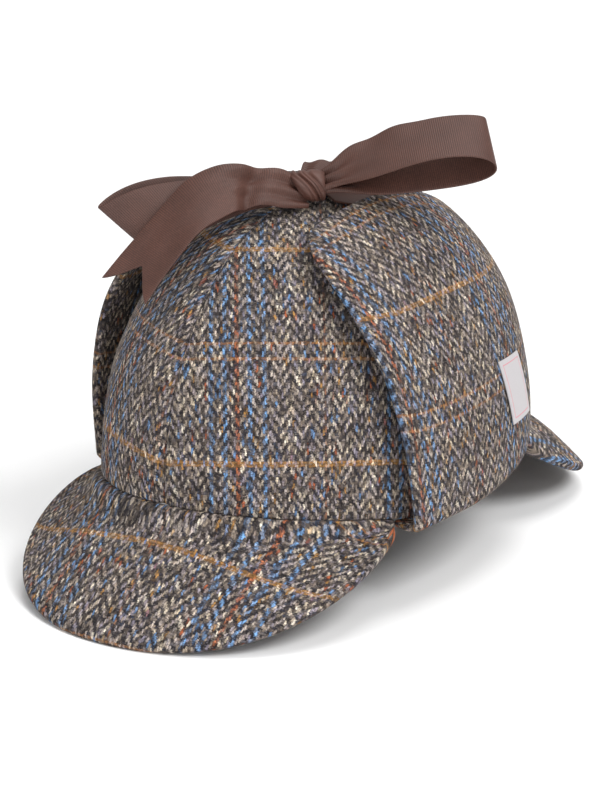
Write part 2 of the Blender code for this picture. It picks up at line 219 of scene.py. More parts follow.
def make_tweed():
    material, tree = new_material("herringbone_wool_tweed", 0.95, 0.12, "#8E857D", 0.12)
    flat = add(tree, "Attribute", attribute_name="cloth_mm").outputs["Vector"]
    wander = add(tree, "TexNoise", {"Vector": flat, "Scale": 0.62, "Detail": 4.0,
                                    "Roughness": 0.75})
    centred = add(tree, "VectorMath", [wander.outputs["Color"], (0.5, 0.5, 0.5)], "SUBTRACT")
    shift = add(tree, "VectorMath", [centred, (2.6, 3.0, 0.0)], "MULTIPLY")
    place = add(tree, "VectorMath", [flat, shift], "ADD")
    axes = add(tree, "SeparateXYZ", [place])
    across = add(tree, "Math", [axes.outputs[0], WARP_SPACING_MM], "DIVIDE")
    along = add(tree, "Math", [axes.outputs[1], WEFT_SPACING_MM], "DIVIDE")
    end = add(tree, "Math", [across], "FLOOR")
    pick = add(tree, "Math", [along], "FLOOR")

    # The twill climbs one pick a thread, and turns round at each column's edge
    slope = add(tree, "Math", [end, float(COLUMN_THREADS)], "PINGPONG")
    climb = add(tree, "Math", [along, slope], "ADD")
    turn = add(tree, "Math", [climb, float(TWILL_REPEAT)], "FLOORED_MODULO")
    step = add(tree, "Math", [turn], "FLOOR")
    warp_up = add(tree, "Math", [step, 1.5], "LESS_THAN")

    # Stray fibres carry each yarn's colour a little over its neighbours
    fray = add(tree, "TexNoise", {"Vector": flat, "Scale": 1.25, "Detail": 4.0,
                                  "Roughness": 0.75})
    strayed = add(tree, "MapRange", [fray, 0.25, 0.75, -0.80, 0.98])
    warp_share = add(tree, "Math", [warp_up, 0.62, strayed], "MULTIPLY_ADD", use_clamp=True)

    # Each float of a thread gets its own number, for its own shade of the mixed wool
    float_count = add(tree, "Math", [climb, float(TWILL_REPEAT)], "DIVIDE")
    warp_float = add(tree, "Math", [float_count], "FLOOR")
    warp_shade = chance_number(tree, end, warp_float, 3.0)
    half_end = add(tree, "Math", [end, 0.5], "MULTIPLY")
    weft_float = add(tree, "Math", [half_end], "FLOOR")
    weft_shade = chance_number(tree, weft_float, pick, 7.0)
    warp_wool = fill_ramp(add(tree, "ValToRGB", [warp_shade]), WARP_WOOL)
    weft_wool = fill_ramp(add(tree, "ValToRGB", [weft_shade]), WEFT_WOOL)

    # The check's coloured threads
    warp_check = check_threads(tree, end, WARP_STRIPES, CHECK_WARP_THREADS)
    weft_check = check_threads(tree, pick, WEFT_STRIPES, CHECK_WEFT_THREADS)
    stripe_share = add(tree, "MapRange", [warp_shade, 0.0, 0.6, 0.25, 0.95])
    warp_dyed = add(tree, "Math", [warp_check.outputs["Alpha"], stripe_share], "MULTIPLY")
    weft_dyed = add(tree, "Math", [weft_check.outputs["Alpha"], 0.85], "MULTIPLY")
    warp_colour = add(tree, "Mix", {0: warp_dyed, 6: warp_wool, 7: warp_check}, data_type="RGBA")
    weft_colour = add(tree, "Mix", {0: weft_dyed, 6: weft_wool, 7: weft_check}, data_type="RGBA")
    threads = add(tree, "Mix", {0: warp_share, 6: weft_colour.outputs[2], 7: warp_colour.outputs[2]},
                  data_type="RGBA")

    # Roundness of a thread gives its height, painted as shade on its sides and ends and as light on its
    # middle
    side = add(tree, "Math", [across], "FRACT")
    warp_round = add(tree, "Math", [side, 0.5], "PINGPONG")
    cross_side = add(tree, "Math", [along], "FRACT")
    weft_round = add(tree, "Math", [cross_side, 0.5], "PINGPONG")
    half_turn = add(tree, "Math", [turn, 1.0], "PINGPONG")
    warp_arch = add(tree, "Math", [half_turn, 0.45, 0.35], "MULTIPLY_ADD")
    warp_height = add(tree, "Math", [warp_round, 1.1, warp_arch], "MULTIPLY_ADD")
    weft_height = add(tree, "Math", [weft_round, 1.1, 0.20], "MULTIPLY_ADD")
    height = add(tree, "Mix", {0: warp_up, 2: weft_height, 3: warp_height}, data_type="FLOAT")

    # Loose wool fibres blur the threads, and the cloth is a little uneven all over
    fibre_place = add(tree, "Mapping", {"Vector": flat, "Scale": (1.9, 1.0, 1.0)})
    fibres = add(tree, "TexNoise", {"Vector": fibre_place, "Scale": 1.5, "Detail": 5.0, "Roughness": 0.8,
                                    "Distortion": 1.4})
    patches = add(tree, "TexNoise", {"Vector": flat, "Scale": 0.06, "Detail": 3.0})
    # Painted shade: low parts of the threads are darkened and high parts lightened; the same height drives
    # the bump
    shade = add(tree, "MapRange", [height, 0.3, 1.3, 0.36, 1.46])
    fibre_light = add(tree, "MapRange", [fibres, 0.3, 0.7, 0.40, 1.66])
    patch_light = add(tree, "MapRange", [patches, 0.3, 0.7, 0.90, 1.10])
    light = add(tree, "Math", [shade, fibre_light], "MULTIPLY")
    light = add(tree, "Math", [light, patch_light], "MULTIPLY")

    # Handspun yarn is thick and thin, so each crossing takes the light by itself
    crossing_shade = chance_number(tree, end, pick, 11.0)
    crossing_light = add(tree, "MapRange", {0: crossing_shade, 3: 0.60, 4: 1.40})
    light = add(tree, "Math", [light, crossing_light], "MULTIPLY")
    colour = add(tree, "VectorMath", {0: threads.outputs[2], "Scale": light}, "SCALE")
    fuzz = add(tree, "Mix", {0: 0.08, 6: colour, 7: linear("#746B68")}, data_type="RGBA")
    relief = add(tree, "Math", [fibres, 0.7, height], "MULTIPLY_ADD")
    return end_material(material, fuzz.outputs[2], relief, 0.8, 0.3 * MM)


TWEED = make_tweed()
print("tweed:", len(TWEED.node_tree.nodes), "nodes")

# %% [markdown]
# The ribbon
#
# The bow is grosgrain: a firm woven ribbon whose thick weft stands up as fine ribs across its width,
# about 0.85 mm apart. A rounded wave along the length gives the ribs their bump and also painted shade,
# darker in the hollows between them, and a fainter cloud the uneven dyeing.

# %% Grosgrain material
RIB_SPACING_MM = 0.85


def make_grosgrain():
    material, tree = new_material("brown_grosgrain_ribbon", 0.52, 0.12, "#8A6259", 0.4)
    flat = add(tree, "Attribute", attribute_name="cloth_mm").outputs["Vector"]
    axes = add(tree, "SeparateXYZ", [flat])
    rib_place = add(tree, "Math", [axes.outputs[1], math.pi / RIB_SPACING_MM], "MULTIPLY")
    wave = add(tree, "Math", [rib_place], "SINE")
    rib = add(tree, "Math", [wave], "ABSOLUTE")
    weave_place = add(tree, "Mapping", {"Vector": flat, "Scale": (3.0, 1.2, 1.0)})
    weave = add(tree, "TexNoise", {"Vector": weave_place, "Scale": 1.6, "Detail": 3.0, "Roughness": 0.7})
    clouds = add(tree, "TexNoise", {"Vector": flat, "Scale": 0.07, "Detail": 3.0})
    # Painted shade: the ribbon's brown is darker in the hollows between the ribs and lighter on their tops
    dye_and_rib_shade = fill_ramp(add(tree, "ValToRGB", [rib]),
                    ((0.0, "#301C15"), (0.35, "#4B3028"), (1.0, "#583930")))
    weave_light = add(tree, "MapRange", [weave, 0.3, 0.7, 0.58, 1.36])
    cloud_light = add(tree, "MapRange", [clouds, 0.3, 0.7, 0.84, 1.10])
    light = add(tree, "Math", [weave_light, cloud_light], "MULTIPLY")
    colour = add(tree, "VectorMath", {0: dye_and_rib_shade, "Scale": light}, "SCALE")
    relief = add(tree, "Math", [weave, 0.25, rib], "MULTIPLY_ADD")
    return end_material(material, colour.outputs[0], relief, 0.6, 0.14 * MM)


GROSGRAIN = make_grosgrain()
print("ribbon:", len(GROSGRAIN.node_tree.nodes), "nodes")

# %% [markdown]
# The label
#
# A small satin-woven cotton patch with its edges folded under. Its face is left bare but for a thin
# woven border, drawn from the patch's own millimetres.

# %% Label material
LABEL_WIDTH_MM = 24.0
LABEL_HEIGHT_MM = 31.0
LABEL_BORDER_MM = 2.6
LABEL_BORDER_WIDTH_MM = 0.5


def make_label_cloth():
    material, tree = new_material("white_satin_weave_label", 0.55, 0.1, "#FFFFFF", 0.35)
    flat = add(tree, "Attribute", attribute_name="cloth_mm").outputs["Vector"]
    axes = add(tree, "SeparateXYZ", [flat])
    from_side = add(tree, "Math", [axes.outputs[0], LABEL_WIDTH_MM / 2.0], "PINGPONG")
    from_end = add(tree, "Math", [axes.outputs[1], LABEL_HEIGHT_MM / 2.0], "PINGPONG")
    nearest = add(tree, "Math", [from_side, from_end], "MINIMUM")
    away = add(tree, "Math", [nearest, LABEL_BORDER_MM], "SUBTRACT")
    away = add(tree, "Math", [away], "ABSOLUTE")
    border = add(tree, "Math", [away, LABEL_BORDER_WIDTH_MM / 2.0], "LESS_THAN")
    fine = add(tree, "Mapping", {"Vector": flat, "Scale": (5.0, 1.4, 1.0)})
    weave = add(tree, "TexNoise", {"Vector": fine, "Scale": 1.3, "Detail": 3.0})
    ground = fill_ramp(add(tree, "ValToRGB", [weave]), ((0.3, "#ADA9AB"), (0.7, "#BFBBBD")))
    thread = add(tree, "Mix", {0: border, 6: ground, 7: linear("#C9808A")}, data_type="RGBA")
    return end_material(material, thread.outputs[2], weave, 0.4, 0.1 * MM)


LABEL_CLOTH = make_label_cloth()

# %% [markdown]
# Making cloth
#
# Every piece is a sheet with two sides and a rounded edge. A sheet could be a grid with a Solidify
# modifier, but that smears the weave over the cut edge. Here a function gives the sheet's middle and the
# flat cloth's millimetres at a spot, and the two sides close on each other in a half circle, so that the
# threads run round the edge as they do in a turned hem.


# %% Cloth helper
EDGE_SHARES = (0.0, 0.05, 0.19, 0.42, 0.70, 1.0)
BACK_LAYER_MM = 9.0


def eased_steps(count, edge):
    """Steps from 0 to 1 with a few close ones near both ends, where the edge rounds off."""
    start = [edge * share for share in EDGE_SHARES]
    middle = list(np.linspace(edge, 1.0 - edge, count))[1:-1]
    return start + middle + [1.0 - value for value in reversed(start)]


def roundness(step, edge):
    """Share of the full thickness at a step from 0 to 1."""
    inward = min(step, 1.0 - step) / edge
    return math.sqrt(max(1.0 - (1.0 - min(inward, 1.0)) ** 2.0, 0.0))


def run_round_edge(cloth, thickness):
    """Spaces the cloth's millimetres over its four rounded edges by their true length."""
    last = len(EDGE_SHARES) - 1
    for direction in ("across", "along"):
        for border in ("first", "last"):
            outward = cloth[:, last] - cloth[:, last + 1]
            outward /= np.maximum(np.linalg.norm(outward, axis=1, keepdims=True), 1e-9)
            for step, share in enumerate(EDGE_SHARES[:-1]):
                over = (math.pi / 2.0 - math.acos(1.0 - share)) * thickness / MM / 2.0
                cloth[:, step] = cloth[:, last] + outward * over
            cloth = cloth[:, ::-1]
        cloth = np.swapaxes(cloth, 0, 1)
    return cloth


def cloth_mesh(name, points, faces, flats, material):
    """A smooth mesh that carries the flat cloth's millimetres."""
    mesh = bpy.data.meshes.new(name + "_cloth")
    mesh.from_pydata(points, [], faces)
    held = mesh.attributes.new("cloth_mm", "FLOAT_VECTOR", "POINT")
    held.data.foreach_set("vector", np.array(flats, np.float32).ravel())
    mesh.polygons.foreach_set("use_smooth", [True] * len(mesh.polygons))
    mesh.materials.append(material)
    return mesh


def cloth_piece(name, place, columns, rows, thickness, width, length, material, floor=None):
    """Builds one piece from place(across, along): its middle point and its cloth's millimetres.

    Width and length are about the real ones, and set how much of the sheet its rounded edge takes.
    """
    edge_across = min(thickness / 2.0 / width, 0.2)
    edge_along = min(thickness / 2.0 / length, 0.2)
    steps_across = eased_steps(columns, edge_across)
    steps_along = eased_steps(rows, edge_along)
    wide, long = len(steps_across), len(steps_along)
    middle = np.zeros((long, wide, 3))
    cloth = np.zeros((long, wide, 3))
    half = np.zeros((long, wide))
    for row, along in enumerate(steps_along):
        for column, across in enumerate(steps_across):
            point, flat = place(across, along)
            middle[row, column] = point
            cloth[row, column, :2] = flat
            rounded = roundness(across, edge_across) * roundness(along, edge_along)
            half[row, column] = thickness / 2.0 * rounded
    cloth = run_round_edge(cloth, thickness)
    over = np.gradient(middle, np.array(steps_across), axis=1)
    up = np.gradient(middle, np.array(steps_along), axis=0)
    normal = np.cross(over, up)
    normal /= np.maximum(np.linalg.norm(normal, axis=2, keepdims=True), 1e-12)
    outer = middle + normal * half[..., None]
    inner = middle - normal * half[..., None]
    if floor is not None:
        outer[..., 2] = np.maximum(outer[..., 2], floor)
        inner[..., 2] = np.maximum(inner[..., 2], floor)

    # The border row is shared by both sides, so the mesh is closed
    front = np.arange(long * wide).reshape(long, wide)
    back = np.full((long, wide), -1)
    back[1:-1, 1:-1] = long * wide + np.arange((long - 2) * (wide - 2)).reshape(long - 2, wide - 2)
    border = back < 0
    back[border] = front[border]
    points = np.concatenate([outer.reshape(-1, 3), inner[1:-1, 1:-1].reshape(-1, 3)])
    back_cloth = cloth.copy()
    back_cloth[..., 2] = BACK_LAYER_MM
    flats = np.concatenate([cloth.reshape(-1, 3), back_cloth[1:-1, 1:-1].reshape(-1, 3)])
    faces = []
    for row in range(long - 1):
        for column in range(wide - 1):
            faces.append((front[row, column], front[row, column + 1],
                          front[row + 1, column + 1], front[row + 1, column]))
            faces.append((back[row, column], back[row + 1, column],
                          back[row + 1, column + 1], back[row, column + 1]))
    mesh = cloth_mesh(name, points.tolist(), [[int(i) for i in face] for face in faces], flats, material)
    piece = new_object(name + "_cloth", mesh)
    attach(piece, "root")
    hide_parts(name)
    area = sum(polygon.area for polygon in mesh.polygons) / 2.0
    print(name, len(mesh.polygons), "faces,", round(area * 10000.0, 1), "square centimetres a side")
    return piece


def ripple(point, size, depth, seed):
    """A soft uneven rise and fall over a surface, with hollows of the given size."""
    spot = Vector(point) / size + Vector((seed, 0.0, 0.0))
    return depth * noise.noise(spot)


# %% [markdown]
# The crown
#
# Four gores of tweed are cut like the peel of an orange and sewn together over the front, the ears and
# the back. The crown's skin is one formula, a dome that is longer than it is wide and a little squarer
# than an egg, so each gore is the stretch of it between two seams. The cloth is cut with its threads
# along the gore's middle line: up there, the check runs straight and the seams slice it off at an angle.

# %% Crown sizes and skin
CROWN_HALF_WIDTH = 79.0 * MM
CROWN_HALF_LENGTH = 105.0 * MM
CROWN_TOP = 156.0 * MM
CROWN_FULLNESS = 2.18
CROWN_CLOTH = 2.0 * MM
CROWN_CENTRE_Y = -5.0 * MM
RIM_FRONT = 46.0 * MM
RIM_SIDE = 35.5 * MM
RIM_BACK = 49.0 * MM
RIM_SIDE_ANGLE = 68.0
SEAM_DIP = 1.0 * MM
SEAM_WIDTH = 2.4 * MM
CROWN_LAST_CLIMB = 0.985


def rim_height(angle):
    """Height of the crown's lower edge at an angle from the front, in radians."""
    turned = abs((math.degrees(angle) + 180.0) % 360.0 - 180.0)
    if turned < RIM_SIDE_ANGLE:
        arch = math.cos(math.pi / 2.0 * turned / RIM_SIDE_ANGLE) ** 0.8
        return RIM_SIDE + (RIM_FRONT - RIM_SIDE) * arch
    rise = 0.5 - 0.5 * math.cos(math.pi * (turned - RIM_SIDE_ANGLE) / (180.0 - RIM_SIDE_ANGLE))
    return RIM_SIDE + (RIM_BACK - RIM_SIDE) * rise


def crown_skin(angle, climb):
    """Outer skin of the crown: climb runs from 0 at the rim to 1 at the top."""
    power = 2.0 / CROWN_FULLNESS
    turn = min(max(climb, 0.0), 1.0) * math.pi / 2.0
    spread = max(math.cos(turn), 1e-9) ** power
    rise = math.sin(turn) ** power
    low = rim_height(angle)
    return Vector((CROWN_HALF_WIDTH * math.sin(angle) * spread,
                   CROWN_CENTRE_Y - CROWN_HALF_LENGTH * math.cos(angle) * spread,
                   low + (CROWN_TOP - low) * rise))


def crown_normal(angle, climb):
    """Outward direction of the crown's skin."""
    step = 0.01
    low = max(climb - step, 0.0)
    high = min(climb + step, CROWN_LAST_CLIMB)
    if high <= low:
        low = high - step
    around = crown_skin(angle + step, min(climb, 0.97)) - crown_skin(angle - step, min(climb, 0.97))
    upward = crown_skin(angle, high) - crown_skin(angle, low)
    return around.cross(upward).normalized()


def above_crown(angle, climb, lift):
    """A point lifted off the crown's skin."""
    return crown_skin(angle, climb) + crown_normal(angle, climb) * lift


# Length of cloth from the rim up a front gore's middle line to each height, measured once
PROFILE_STEPS = 240
profile = [crown_skin(math.pi / 4.0, step / PROFILE_STEPS) for step in range(PROFILE_STEPS + 1)]
profile_heights = [point.z for point in profile]
profile_lengths = [0.0]
for below, above in zip(profile, profile[1:]):
    profile_lengths.append(profile_lengths[-1] + (above - below).length)


def cloth_height(height):
    """Length of cloth, in metres, up to a height on the crown."""
    if height < profile_heights[0]:
        return height - profile_heights[0]
    return float(np.interp(height, profile_heights, profile_lengths))


print("cloth from rim to top, mm:", round(profile_lengths[-1] / MM))

# %% Crown gores
AMBER_HEIGHT = 66.5 * MM
GORE_RUST = -33.0 * MM
GORE_CREST = 27.0
GORE_SAG = 4.5 * MM
GORE_SAG_SPAN = 34.0

# name, angle of its first seam, where its cloth is highest, where its rust thread runs
GORES = (("crown_panel_front_left", 0.0, GORE_CREST, GORE_RUST),
         ("crown_panel_back_left", 90.0, 153.0, 12.0 * MM),
         ("crown_panel_back_right", 180.0, 207.0, -20.0 * MM),
         ("crown_panel_front_right", 270.0, 333.0, 24.0 * MM))


def make_gore(name, first_seam, crest, rust):
    middle = math.radians(first_seam + 45.0)

    def place(across, along):
        degrees = first_seam + 90.0 * across
        angle = math.radians(degrees)
        climb = CROWN_LAST_CLIMB * (1.0 - (1.0 - along) ** 1.25)
        half_way = (angle + middle) / 2.0
        reach = math.hypot(CROWN_HALF_WIDTH * math.cos(half_way), CROWN_HALF_LENGTH * math.sin(half_way))
        spread = math.cos(climb * math.pi / 2.0) ** (2.0 / CROWN_FULLNESS)
        from_seam = math.radians(90.0 * min(across, 1.0 - across)) * reach * spread
        dip = SEAM_DIP * math.exp(-(from_seam / SEAM_WIDTH) ** 2.0)
        skin = crown_skin(angle, climb)
        wave = ripple(skin, 32.0 * MM, 0.9 * MM, 1.0) - 0.35 * MM
        point = skin + crown_normal(angle, climb) * (min(wave, 0.05 * MM) - dip - CROWN_CLOTH / 2.0)
        u = (angle - middle) * reach * spread - rust
        sag = GORE_SAG * ((degrees - crest) / GORE_SAG_SPAN) ** 2.0 * min(1.0, 1.6 * (1.0 - along))
        v = cloth_height(skin.z) - cloth_height(AMBER_HEIGHT) + sag
        return point, (u / MM + RUST_THREAD_MM, v / MM + AMBER_THREAD_MM)

    return cloth_piece(name, place, 84, 96, CROWN_CLOTH, 130.0 * MM, 150.0 * MM, TWEED)


gores = [make_gore(*gore) for gore in GORES]

# %% [markdown]
# The peaks
#
# Each peak is two layers of tweed round a stiff board, sewn under the rim. It is one thick sheet whose
# outline is a rounded bow, and it comes down until its lip lies flat on the table.

# %% Peaks
PEAK_THICKNESS = 4.5 * MM
PEAK_TUCK = 3.0 * MM
PEAK_FLOOR_CUT = 2.0 * MM
GAP = 0.3 * MM

# name, middle angle, half angle, reach, spread of rays, corner, fullness, lip curve, swell, rust
# thread, end drop
PEAKS = (("front_peak", 0.0, 66.0, 42.0 * MM, 0.55, 3.2, 1.9, 2.7, 0.03, 46.0 * MM, 0.0),
         ("back_peak", 180.0, 47.0, 52.0 * MM, 0.7, 3.0, 1.8, 6.5, 0.11, 10.0 * MM, 11.0 * MM))
PEAK_SEAM_FALL = 3.0 * MM
PEAK_EARLY_RISE = 0.35
PEAK_AMBER = 119.0 * MM
PEAK_BOW = 3.8
PEAK_SEAM_DEPTH = PEAK_THICKNESS * 0.72
PEAK_WARP_SCALE = 0.95
PEAK_WEFT_SCALE = 1.30


def make_peak(name, middle, half_angle, reach, fan, corner, fullness, lip_curve, swell, rust, end_drop):
    half = PEAK_THICKNESS / 2.0
    end_angle = math.radians(middle + half_angle)
    end_height = rim_height(end_angle) - GAP - PEAK_SEAM_DEPTH - end_drop
    side = 1.0 if middle == 0.0 else -1.0
    early = PEAK_EARLY_RISE if side < 0.0 else 0.0

    def place(across, along):
        share = 2.0 * across - 1.0
        angle = math.radians(middle + half_angle * share)
        inner = Vector(((CROWN_HALF_WIDTH - PEAK_TUCK) * math.sin(angle),
                        CROWN_CENTRE_Y - (CROWN_HALF_LENGTH - PEAK_TUCK) * math.cos(angle),
                        rim_height(angle) - GAP - PEAK_SEAM_DEPTH))
        ray = math.radians(middle + half_angle * share * fan)
        grow = PEAK_TUCK + reach * max(1.0 - abs(share) ** corner, 0.0) ** (1.0 / fullness)
        lip = half - PEAK_FLOOR_CUT
        rise = early * abs(share) ** 1.2 + (1.0 - early) * abs(share) ** lip_curve
        lip += (end_height - lip) * rise
        outer = inner + Vector((math.sin(ray), -math.cos(ray), 0.0)) * grow
        outer.z = lip
        point = inner.lerp(outer, along)
        # The cloth comes up flush against the crown's edge, where the seam pulls both together
        seam_height = rim_height(angle) - 0.5 * GAP - half
        from_seam = max(grow * along - PEAK_TUCK * 0.85, 0.0)
        point.z += (seam_height - point.z) * math.exp(-(from_seam / PEAK_SEAM_FALL) ** 2.0)
        point.z += reach * swell * math.sin(math.pi * along) * (1.0 - share * share)
        point.z += ripple(point, 40.0 * MM, 1.0 * MM, 4.0) * math.sin(math.pi * along)
        u = point.x * side - rust
        v = -point.y * side - PEAK_AMBER + PEAK_BOW * point.x * point.x
        return point, (u / MM * PEAK_WARP_SCALE + RUST_THREAD_MM, v / MM * PEAK_WEFT_SCALE + AMBER_THREAD_MM)

    return cloth_piece(name, place, 110, 44, PEAK_THICKNESS, 200.0 * MM, 50.0 * MM, TWEED,
                       floor=0.0)


peaks = [make_peak(*peak) for peak in PEAKS]

# %% [markdown]
# The ear flaps
#
# The flaps are sewn under the rim over the ears, folded up round it and tied together on top. So each
# one is a single sheet: a hook round the rim, then a leaf that lies on the crown. Its front edge stands a
# little off the crown and throws the dark line that the photograph shows.

# %% Ear flaps
FLAP_THICKNESS = 3.6 * MM
FLAP_BASE_FRONT = 67.0
FLAP_BASE_REAR = 131.0
FLAP_TIP_FROM_CENTRE = 0.19
FLAP_FRONT_EDGE = -0.34
FLAP_REAR_EDGE = 0.46
FLAP_BELLY = 0.5 * MM
FLAP_FRONT_CURL = 9.0 * MM
FLAP_HOOK = 0.13
RIBBON_THICKNESS = 0.9 * MM
FLAP_RUST = -56.5 * MM
FLAP_AMBER = 118.0 * MM
FLAP_LEAN = 0.10
FLAP_LEAN_FROM = 150.0 * MM
FLAP_WARP_SCALE = 0.957
FLAP_HOOK_START = -25.0
FLAP_HOOK_TURN = 115.0


def flap_spot(across, along):
    """Angle and climb on the crown for a spot of the left flap: along is 0 at the rim."""
    base = math.radians(FLAP_BASE_FRONT + (FLAP_BASE_REAR - FLAP_BASE_FRONT) * across)
    foot = Vector((math.sin(base), -math.cos(base)))
    round_off = (1.0 - (0.965 * along) ** 5.0) ** 0.2
    middle = (FLAP_FRONT_EDGE + FLAP_REAR_EDGE) / 2.0
    half = (FLAP_REAR_EDGE - FLAP_FRONT_EDGE) / 2.0
    tip = Vector((FLAP_TIP_FROM_CENTRE, middle + half * (2.0 * across - 1.0) * round_off))
    x = foot.x + (tip.x - foot.x) * along
    ease = 1.0 - (1.0 - along) ** 2.0
    y = foot.y + (tip.y - foot.y) * ease
    return math.atan2(x, -y), 1.0 - math.hypot(x, y)


def flap_lift(across, along):
    """How far the middle of the flap's cloth stands off the crown's skin."""
    rest = RIBBON_THICKNESS + 4.0 * GAP + FLAP_THICKNESS / 2.0
    belly = FLAP_BELLY * max(math.sin(math.pi * along ** 1.4), 0.0)
    curl = FLAP_FRONT_CURL * (1.0 - across) ** 6.0 * (0.55 + 1.0 * along - 1.5 * along ** 3.0)
    return rest + belly + curl


def make_flap(name, side, rust):
    def place(across, along):
        if side < 0.0:
            across = 1.0 - across
        if along < FLAP_HOOK:
            angle, climb = flap_spot(across, 0.0)
            swing = math.radians(FLAP_HOOK_START + FLAP_HOOK_TURN * along / FLAP_HOOK)
            outward = crown_normal(angle, 0.0)
            outward.z = 0.0
            outward.normalize()
            edge = crown_skin(angle, 0.0)
            radius = flap_lift(across, 0.0) + CROWN_CLOTH / 2.0
            point = edge + outward * (radius * math.sin(swing) - CROWN_CLOTH / 2.0)
            point.z -= (2.0 * GAP + FLAP_THICKNESS / 2.0) * math.cos(max(swing, 0.0))
            rise = -radius * (math.pi / 2.0 - swing)
            spread = 1.0
        else:
            upward = (along - FLAP_HOOK) / (1.0 - FLAP_HOOK)
            angle, climb = flap_spot(across, upward)
            point = above_crown(angle, climb, flap_lift(across, upward))
            spread = max(math.cos(climb * math.pi / 2.0), 0.0) ** (2.0 / CROWN_FULLNESS)
            rise = 0.0
        wave = max(ripple(point, 30.0 * MM, 0.8 * MM, 8.0 + side), -0.25 * MM)
        point = point + crown_normal(angle, climb) * wave
        blend = min(max((spread - 0.4) / 0.45, 0.0), 1.0)
        level = min(math.hypot(spread * math.sin(angle), spread * math.cos(angle) * blend), 1.0)
        ear_rise = (1.0 - level ** CROWN_FULLNESS) ** (1.0 / CROWN_FULLNESS)
        v = cloth_height(RIM_SIDE + (CROWN_TOP - RIM_SIDE) * ear_rise) + rise
        u = (point.y - FLAP_LEAN * (FLAP_LEAN_FROM - point.z) - rust) * FLAP_WARP_SCALE
        point.x *= side
        return point, (u / MM + RUST_THREAD_MM, (v - cloth_height(FLAP_AMBER)) / MM + AMBER_THREAD_MM)

    return cloth_piece(name, place, 84, 110, FLAP_THICKNESS, 110.0 * MM, 150.0 * MM, TWEED)


flaps = [make_flap("ear_flap_left", 1.0, FLAP_RUST), make_flap("ear_flap_right", -1.0, -30.0 * MM)]

# %% [markdown]
# The label
#
# A flat patch laid on the flap near its rear edge, following the crown's curve at the flap's own height.

# %% Label
LABEL_THICKNESS = 0.8 * MM
LABEL_ANGLE = 105.8
LABEL_CLIMB = 0.092


def label_place(across, along):
    angle = math.radians(LABEL_ANGLE)
    angle += LABEL_WIDTH_MM * MM * (across - 0.25 * along) / CROWN_HALF_LENGTH
    climb = LABEL_CLIMB + LABEL_HEIGHT_MM * MM * (along - 0.10 * across) / (1.3 * CROWN_TOP)
    lift = flap_lift(0.7, 0.3) + (FLAP_THICKNESS + LABEL_THICKNESS) / 2.0 + 1.7 * GAP
    return above_crown(angle, climb, lift), (across * LABEL_WIDTH_MM, along * LABEL_HEIGHT_MM)


label = cloth_piece("label", label_place, 26, 32, LABEL_THICKNESS, LABEL_WIDTH_MM * MM, LABEL_HEIGHT_MM * MM,
                    LABEL_CLOTH)

# %% [markdown]
# The bow
#
# One ribbon, 25 mm wide, is tied in a bow that lies across the crown and faces the camera. Its parts
# share one frame: side runs along the bow, front towards the viewer, up is up. A tail follows a short
# table of stations on a smooth curve, and a loop is a teardrop that leaves the knot and comes back.

# %% Bow frame and ribbon helper
RIBBON_WIDTH = 25.0 * MM
KNOT_LENGTH = 15.0 * MM
KNOT_HEIGHT = 13.0 * MM
KNOT_DEPTH = 14.0 * MM
KNOT = above_crown(math.radians(36.0), 0.875, 8.2 * MM)
BOW_TURN = math.radians(35.0)
BOW_SIDE = Vector((math.cos(BOW_TURN), math.sin(BOW_TURN), 0.0))
BOW_FRONT = Vector((math.sin(BOW_TURN), -math.cos(BOW_TURN), 0.0))
UP = Vector((0.0, 0.0, 1.0))


def bow_vector(side, front, up):
    return BOW_SIDE * side + BOW_FRONT * front + UP * up


def smooth_row(table, along):
    """Values of a table of stations at a share of its length, on a smooth curve."""
    spot = along * (len(table) - 1)
    index = min(int(spot), len(table) - 2)
    part = spot - index
    rows = [table[min(max(index + shift, 0), len(table) - 1)] for shift in (-1, 0, 1, 2)]
    values = []
    for before, here, after, beyond in zip(*rows):
        slope_here = (after - before) / 2.0
        slope_after = (beyond - here) / 2.0
        cube = 2.0 * here - 2.0 * after + slope_here + slope_after
        square = 3.0 * after - 3.0 * here - 2.0 * slope_here - slope_after
        values.append(((cube * part + square) * part + slope_here) * part + here)
    return values


def ribbon_piece(name, spot, rows, length, notch=0.0):
    """A ribbon whose middle is spot(across, along), with its ribs counted along its own middle line."""
    steps = np.linspace(0.0, 1.0, 201)
    line = [spot(0.5, step) for step in steps]
    runs = [0.0]
    for before, after in zip(line, line[1:]):
        runs.append(runs[-1] + (after - before).length)

    def place(across, along):
        along *= 1.0 - notch * (1.0 - abs(2.0 * across - 1.0))
        run = float(np.interp(along, steps, runs))
        return spot(across, along), (RIBBON_WIDTH / MM * across, run / MM)

    print(name, "is", round(runs[-1] / MM), "mm long")
    piece = cloth_piece(name, place, 28, rows, RIBBON_THICKNESS, RIBBON_WIDTH, length, GROSGRAIN)
    return piece


# %% Tails
FRONT_TAIL_REACH = 78.0 * MM
BACK_TAIL_REACH = 80.0 * MM
TAIL_NOTCH = 0.115
TAIL_GATHER = 2.0 * MM
TAIL_FOLD = 0.9 * MM
TAIL_VALLEY = 4.2 * MM

